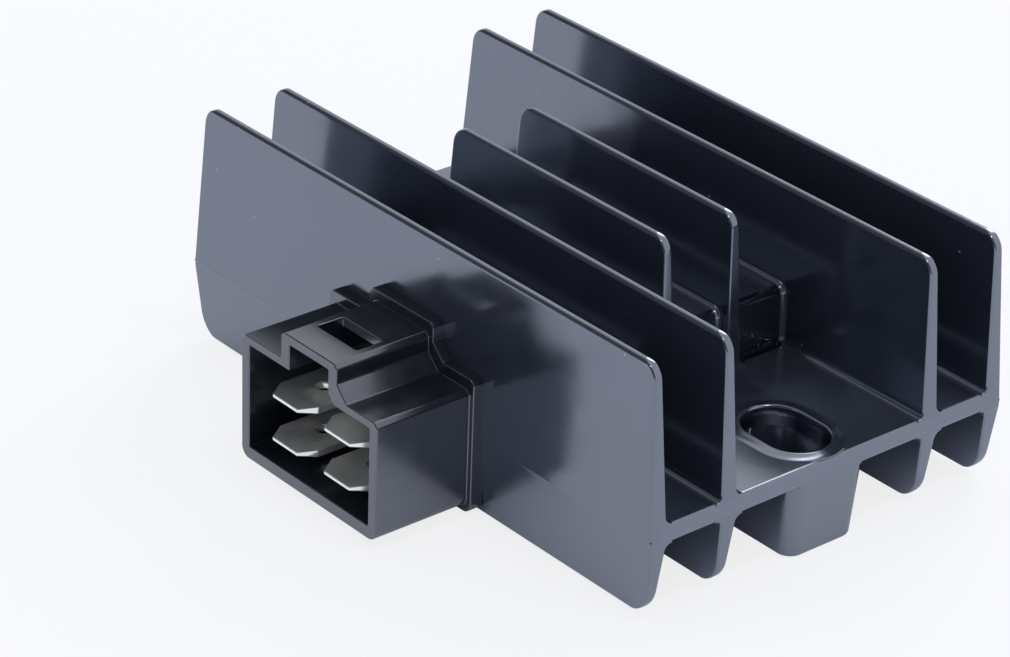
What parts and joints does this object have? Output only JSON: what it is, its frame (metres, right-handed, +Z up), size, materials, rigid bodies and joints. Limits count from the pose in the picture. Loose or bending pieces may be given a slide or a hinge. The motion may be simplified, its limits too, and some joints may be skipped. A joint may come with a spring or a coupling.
{
  "type": "voltage regulator rectifier",
  "caption": "Black finned heatsink housing a sealed voltage regulator rectifier, with slotted mounting bosses and a keyed blade plug socket in its side.",
  "frame": {"origin": "midway between the two mounting slots, on the plane of the bosses' undersides", "axes": "+X along the fins and the line of the slots, -Y towards the plug socket, +Z up along the mounting bolts"},
  "size_m": [0.073, 0.0597, 0.0273],
  "materials": {
    "coated_casting": "die cast, satin black coating",
    "socket_plastic": "injection moulded, satin black",
    "tinned_brass": "bright tin plating",
    "board_laminate": "glass laminate with green lacquer",
    "pad_rubber": "filled silicone sheet",
    "plated_copper": "nickel and tin plated copper",
    "black_moulding": "moulded epoxy",
    "red_glass": "glass diode body",
    "resistor_lacquer": "lacquered",
    "capacitor_can": "can in a blue sleeve",
    "potting_resin": "cast epoxy, slightly glossy"
  },
  "bodies": {
    "root": {"heatsink": "coated_casting", "connector_housing": "socket_plastic", "battery_terminal": "tinned_brass", "ground_terminal": "tinned_brass", "charge_coil_terminal": "tinned_brass", "lighting_coil_terminal": "tinned_brass", "circuit_board": "board_laminate", "insulating_pad_far": "pad_rubber", "insulating_pad_near": "pad_rubber", "thyristor_far_tab": "plated_copper", "thyristor_near_tab": "plated_copper", "thyristor_far_legs": "plated_copper", "thyristor_near_legs": "plated_copper", "thyristor_far_body": "black_moulding", "thyristor_near_body": "black_moulding", "diode_far": "black_moulding", "diode_near": "black_moulding", "zener_far": "red_glass", "zener_near": "red_glass", "resistor_far": "resistor_lacquer", "resistor_middle": "resistor_lacquer", "resistor_near": "resistor_lacquer", "capacitor": "capacitor_can", "potting_resin": "potting_resin"}
  },
  "joints": []
}
